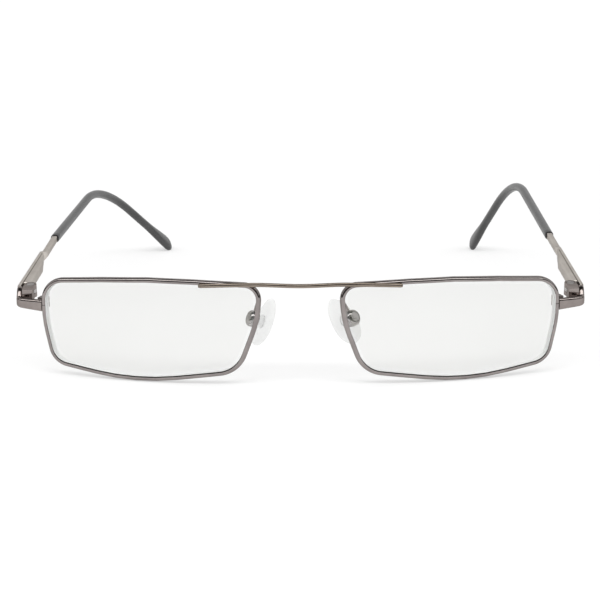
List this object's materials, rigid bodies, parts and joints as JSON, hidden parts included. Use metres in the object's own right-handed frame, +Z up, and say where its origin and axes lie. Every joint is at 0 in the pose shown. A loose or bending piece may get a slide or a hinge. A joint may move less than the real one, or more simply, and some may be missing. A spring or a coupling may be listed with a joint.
{
  "type": "reading glasses",
  "caption": "Full-rim metal reading glasses with narrow rectangular lenses, a straight top bridge, spring hinges, rocking nose pads and dark sleeved temple tips.",
  "frame": {"origin": "middle of the table footprint, at the height of the table the open glasses stand on", "axes": "+X to the wearer's left seen from the front (picture right), +Y back along the temples, +Z up"},
  "size_m": [0.1394, 0.144, 0.0282],
  "materials": {
    "gunmetal_plate": "polished",
    "bronzed_metal": "polished",
    "steel": "satin",
    "lens": "polished",
    "silicone": "satin",
    "dark_sleeve": "satin"
  },
  "bodies": {
    "front": {"rim_left": "gunmetal_plate", "rim_right": "gunmetal_plate", "lens_left": "lens", "lens_right": "lens", "bridge_bar": "bronzed_metal", "closing_block_upper_left": "gunmetal_plate", "closing_block_upper_right": "gunmetal_plate", "closing_block_lower_left": "gunmetal_plate", "closing_block_lower_right": "gunmetal_plate", "rim_lock_screw_left": "steel", "rim_lock_screw_right": "steel", "endpiece_left": "gunmetal_plate", "endpiece_right": "gunmetal_plate", "frame_hinge_left": "gunmetal_plate", "frame_hinge_right": "gunmetal_plate", "pad_arm_left": "gunmetal_plate", "pad_arm_right": "gunmetal_plate", "pad_cup_left": "gunmetal_plate", "pad_cup_right": "gunmetal_plate", "pad_screw_left": "steel", "pad_screw_right": "steel"},
    "pad_left_rocker": {"pad_foot_left": "silicone", "nose_pad_left": "silicone"},
    "hinge_pin_left": {"hinge_screw_left": "steel"},
    "slide_left": {"spring_slider_left": "steel", "slider_nut_left": "steel"},
    "temple_arm_left": {"temple_left": "gunmetal_plate", "temple_tip_left": "dark_sleeve", "spring_box_left": "gunmetal_plate", "spring_collar_left": "steel", "coil_spring_left": "steel"},
    "pad_right_rocker": {"pad_foot_right": "silicone", "nose_pad_right": "silicone"},
    "hinge_pin_right": {"hinge_screw_right": "steel"},
    "slide_right": {"spring_slider_right": "steel", "slider_nut_right": "steel"},
    "temple_arm_right": {"temple_right": "gunmetal_plate", "temple_tip_right": "dark_sleeve", "spring_box_right": "gunmetal_plate", "spring_collar_right": "steel", "coil_spring_right": "steel"}
  },
  "joints": [
    {"name": "flex_left", "type": "hinge", "parent": "front", "child": "hinge_pin_left", "pos_m": [-0.0667, -0.0512, 0.01842], "axis": [0, 0.0783, -0.9969], "range_deg": [-12, 0], "stiffness_Nm_per_rad": 0.05, "springref_deg": 8.59},
    {"name": "fold_left", "type": "hinge", "parent": "hinge_pin_left", "child": "slide_left", "pos_m": [-0.0667, -0.0512, 0.01842], "axis": [0, 0.0783, -0.9969], "range_deg": [0, 78]},
    {"name": "draw_left", "type": "slide", "parent": "slide_left", "child": "temple_arm_left", "axis": [0.0506, 0.9957, 0.0782], "range_m": [0, 0.0007], "deforming": ["coil_spring_left"]},
    {"name": "pad_rock_left", "type": "hinge", "parent": "front", "child": "pad_left_rocker", "pos_m": [-0.01157, -0.06164, 0.0138], "axis": [-0.2865, 0.9511, 0.1158], "range_deg": [-8, 8]},
    {"name": "flex_right", "type": "hinge", "parent": "front", "child": "hinge_pin_right", "pos_m": [0.0667, -0.0512, 0.01842], "axis": [0, -0.1073, 0.9942], "range_deg": [-12, 0], "stiffness_Nm_per_rad": 0.05, "springref_deg": 8.59},
    {"name": "fold_right", "type": "hinge", "parent": "hinge_pin_right", "child": "slide_right", "pos_m": [0.0667, -0.0512, 0.01842], "axis": [0, -0.1073, 0.9942], "range_deg": [0, 87]},
    {"name": "draw_right", "type": "slide", "parent": "slide_right", "child": "temple_arm_right", "axis": [-0.0506, 0.993, 0.1071], "range_m": [0, 0.0007], "deforming": ["coil_spring_right"]},
    {"name": "pad_rock_right", "type": "hinge", "parent": "front", "child": "pad_right_rocker", "pos_m": [0.0124, -0.06341, 0.01437], "axis": [0.5337, 0.7771, 0.3335], "range_deg": [-8, 8]}
  ],
  "couplings": [
    {"joint": "draw_left", "follows": "flex_left", "m_per_rad": -0.00295},
    {"joint": "draw_right", "follows": "flex_right", "m_per_rad": -0.00295}
  ]
}
